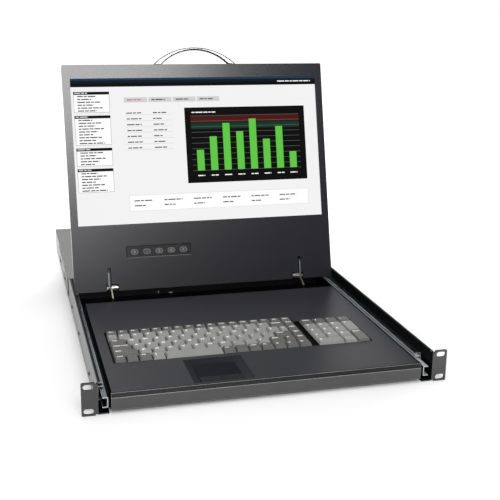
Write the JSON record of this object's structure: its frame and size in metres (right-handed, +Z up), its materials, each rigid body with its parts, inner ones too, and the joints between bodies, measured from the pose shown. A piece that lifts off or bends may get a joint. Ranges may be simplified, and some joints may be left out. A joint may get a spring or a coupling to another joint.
{
  "type": "rack console drawer",
  "caption": "Rack-mount console drawer: a sliding tray with a keyboard and touchpad, and a fold-up flat screen hinged at its rear, on telescopic slides between two eared rails.",
  "frame": {"origin": "middle of the plane of the two rack ears' front faces, half way up one rack unit", "axes": "+X to the right for someone facing the drawer, +Y into the rack, +Z up"},
  "size_m": [0.4826, 0.756, 0.4086],
  "materials": {
    "black_sheet": "satin powder coat",
    "deck_sheet": "satin powder coat",
    "gloss_black": "gloss paint",
    "zinc_steel": "zinc plated",
    "cage_steel": "satin",
    "fastener": "nickel plated",
    "chrome": "polished",
    "key_light": "matte",
    "key_dark": "matte",
    "black_plastic": "matte",
    "touch_surface": "fine matte",
    "button_grey": "textured",
    "circuit_board": "solder mask",
    "screen": "anti-glare",
    "module_metal": "satin"
  },
  "bodies": {
    "chassis": {"left_rail": "black_sheet", "right_rail": "black_sheet", "rear_cover": "black_sheet", "rear_tie_bar": "black_sheet", "rear_bracket_left": "black_sheet", "rear_bracket_right": "black_sheet", "slide_outer_left": "zinc_steel", "slide_outer_right": "zinc_steel", "chassis_screws": "fastener"},
    "drawer": {"slide_inner_left": "zinc_steel", "slide_inner_right": "zinc_steel", "drawer_tray": "black_sheet", "front_lip": "black_sheet", "deck_cover": "deck_sheet", "keyboard_frame": "black_plastic", "keyboard_board": "circuit_board", "touchpad_frame": "black_plastic", "touchpad": "touch_surface", "hinge_arm_left": "fastener", "hinge_arm_right": "fastener", "rear_housing": "black_sheet", "rear_panel": "black_sheet", "main_board": "circuit_board", "power_supply": "module_metal", "power_inlet": "black_plastic", "signal_sockets": "black_plastic", "drawer_screws": "fastener"},
    "lid": {"lid_bezel": "gloss_black", "lid_back_cover": "black_sheet", "lcd_module": "module_metal", "lcd_screen": "screen", "osd_plate": "black_plastic", "osd_board": "circuit_board", "lid_handle": "chrome", "hinge_leaf_left": "fastener", "hinge_leaf_right": "fastener", "hinge_pins": "fastener", "lid_screws": "fastener"},
    "slide_middle_left": {"slide_middle_left": "zinc_steel"},
    "ball_cage_outer_left": {"ball_cage_outer_left": "cage_steel"},
    "ball_cage_inner_left": {"ball_cage_inner_left": "cage_steel"},
    "slide_middle_right": {"slide_middle_right": "zinc_steel"},
    "ball_cage_outer_right": {"ball_cage_outer_right": "cage_steel"},
    "ball_cage_inner_right": {"ball_cage_inner_right": "cage_steel"},
    "osd_button_1": {"osd_button_1": "button_grey"},
    "osd_button_2": {"osd_button_2": "button_grey"},
    "osd_button_3": {"osd_button_3": "button_grey"},
    "osd_button_4": {"osd_button_4": "button_grey"},
    "osd_button_5": {"osd_button_5": "button_grey"},
    "touch_button_left": {"touch_button_left": "button_grey"},
    "touch_button_right": {"touch_button_right": "button_grey"},
    "function_keys": {"function_keys": "key_dark"},
    "digit_keys": {"digit_keys": "key_light"},
    "top_letter_keys": {"top_letter_keys": "key_light"},
    "home_letter_keys": {"home_letter_keys": "key_light"},
    "low_letter_keys": {"low_letter_keys": "key_light"},
    "space_bar": {"space_bar": "key_light"},
    "modifier_keys": {"modifier_keys": "key_dark"},
    "navigation_keys": {"navigation_keys": "key_dark"},
    "number_pad_keys": {"number_pad_keys": "key_light"}
  },
  "joints": [
    {"name": "drawer_slide", "type": "slide", "parent": "chassis", "child": "drawer", "axis": [0, -1, 0], "range_m": [0, 0.5]},
    {"name": "slide_middle_left_run", "type": "slide", "parent": "chassis", "child": "slide_middle_left", "axis": [0, -1, 0], "range_m": [0, 0.25]},
    {"name": "ball_cage_outer_left_run", "type": "slide", "parent": "chassis", "child": "ball_cage_outer_left", "axis": [0, -1, 0], "range_m": [0, 0.125]},
    {"name": "ball_cage_inner_left_run", "type": "slide", "parent": "chassis", "child": "ball_cage_inner_left", "axis": [0, -1, 0], "range_m": [0, 0.375]},
    {"name": "slide_middle_right_run", "type": "slide", "parent": "chassis", "child": "slide_middle_right", "axis": [0, -1, 0], "range_m": [0, 0.25]},
    {"name": "ball_cage_outer_right_run", "type": "slide", "parent": "chassis", "child": "ball_cage_outer_right", "axis": [0, -1, 0], "range_m": [0, 0.125]},
    {"name": "ball_cage_inner_right_run", "type": "slide", "parent": "chassis", "child": "ball_cage_inner_right", "axis": [0, -1, 0], "range_m": [0, 0.375]},
    {"name": "lid_hinge", "type": "hinge", "parent": "drawer", "child": "lid", "pos_m": [0, 0.38664, 0.01357], "axis": [1, 0, 0], "range_deg": [-8, 105.2]},
    {"name": "osd_button_1_press", "type": "slide", "parent": "lid", "child": "osd_button_1", "axis": [0, 0.965, -0.2622], "range_m": [0, 0.0008], "stiffness_N_per_m": 900, "springref_m": -0.0006},
    {"name": "osd_button_2_press", "type": "slide", "parent": "lid", "child": "osd_button_2", "axis": [0, 0.965, -0.2622], "range_m": [0, 0.0008], "stiffness_N_per_m": 900, "springref_m": -0.0006},
    {"name": "osd_button_3_press", "type": "slide", "parent": "lid", "child": "osd_button_3", "axis": [0, 0.965, -0.2622], "range_m": [0, 0.0008], "stiffness_N_per_m": 900, "springref_m": -0.0006},
    {"name": "osd_button_4_press", "type": "slide", "parent": "lid", "child": "osd_button_4", "axis": [0, 0.965, -0.2622], "range_m": [0, 0.0008], "stiffness_N_per_m": 900, "springref_m": -0.0006},
    {"name": "osd_button_5_press", "type": "slide", "parent": "lid", "child": "osd_button_5", "axis": [0, 0.965, -0.2622], "range_m": [0, 0.0008], "stiffness_N_per_m": 900, "springref_m": -0.0006},
    {"name": "touch_button_left_press", "type": "slide", "parent": "drawer", "child": "touch_button_left", "axis": [0, 0, -1], "range_m": [0, 0.0008], "stiffness_N_per_m": 900, "springref_m": -0.0006},
    {"name": "touch_button_right_press", "type": "slide", "parent": "drawer", "child": "touch_button_right", "axis": [0, 0, -1], "range_m": [0, 0.0008], "stiffness_N_per_m": 900, "springref_m": -0.0006},
    {"name": "function_keys_press", "type": "slide", "parent": "drawer", "child": "function_keys", "axis": [0, 0, -1], "range_m": [0, 0.002], "stiffness_N_per_m": 4250, "springref_m": -0.001},
    {"name": "digit_keys_press", "type": "slide", "parent": "drawer", "child": "digit_keys", "axis": [0, 0, -1], "range_m": [0, 0.002], "stiffness_N_per_m": 3250, "springref_m": -0.001},
    {"name": "top_letter_keys_press", "type": "slide", "parent": "drawer", "child": "top_letter_keys", "axis": [0, 0, -1], "range_m": [0, 0.002], "stiffness_N_per_m": 3250, "springref_m": -0.001},
    {"name": "home_letter_keys_press", "type": "slide", "parent": "drawer", "child": "home_letter_keys", "axis": [0, 0, -1], "range_m": [0, 0.002], "stiffness_N_per_m": 2750, "springref_m": -0.001},
    {"name": "low_letter_keys_press", "type": "slide", "parent": "drawer", "child": "low_letter_keys", "axis": [0, 0, -1], "range_m": [0, 0.002], "stiffness_N_per_m": 2500, "springref_m": -0.001},
    {"name": "space_bar_press", "type": "slide", "parent": "drawer", "child": "space_bar", "axis": [0, 0, -1], "range_m": [0, 0.002], "stiffness_N_per_m": 250, "springref_m": -0.001},
    {"name": "modifier_keys_press", "type": "slide", "parent": "drawer", "child": "modifier_keys", "axis": [0, 0, -1], "range_m": [0, 0.002], "stiffness_N_per_m": 3500, "springref_m": -0.001},
    {"name": "navigation_keys_press", "type": "slide", "parent": "drawer", "child": "navigation_keys", "axis": [0, 0, -1], "range_m": [0, 0.002], "stiffness_N_per_m": 1750, "springref_m": -0.001},
    {"name": "number_pad_keys_press", "type": "slide", "parent": "drawer", "child": "number_pad_keys", "axis": [0, 0, -1], "range_m": [0, 0.002], "stiffness_N_per_m": 4250, "springref_m": -0.001}
  ],
  "couplings": [
    {"joint": "slide_middle_left_run", "follows": "drawer_slide", "ratio": 0.5},
    {"joint": "ball_cage_outer_left_run", "follows": "drawer_slide", "ratio": 0.25},
    {"joint": "ball_cage_inner_left_run", "follows": "drawer_slide", "ratio": 0.75},
    {"joint": "slide_middle_right_run", "follows": "drawer_slide", "ratio": 0.5},
    {"joint": "ball_cage_outer_right_run", "follows": "drawer_slide", "ratio": 0.25},
    {"joint": "ball_cage_inner_right_run", "follows": "drawer_slide", "ratio": 0.75}
  ]
}
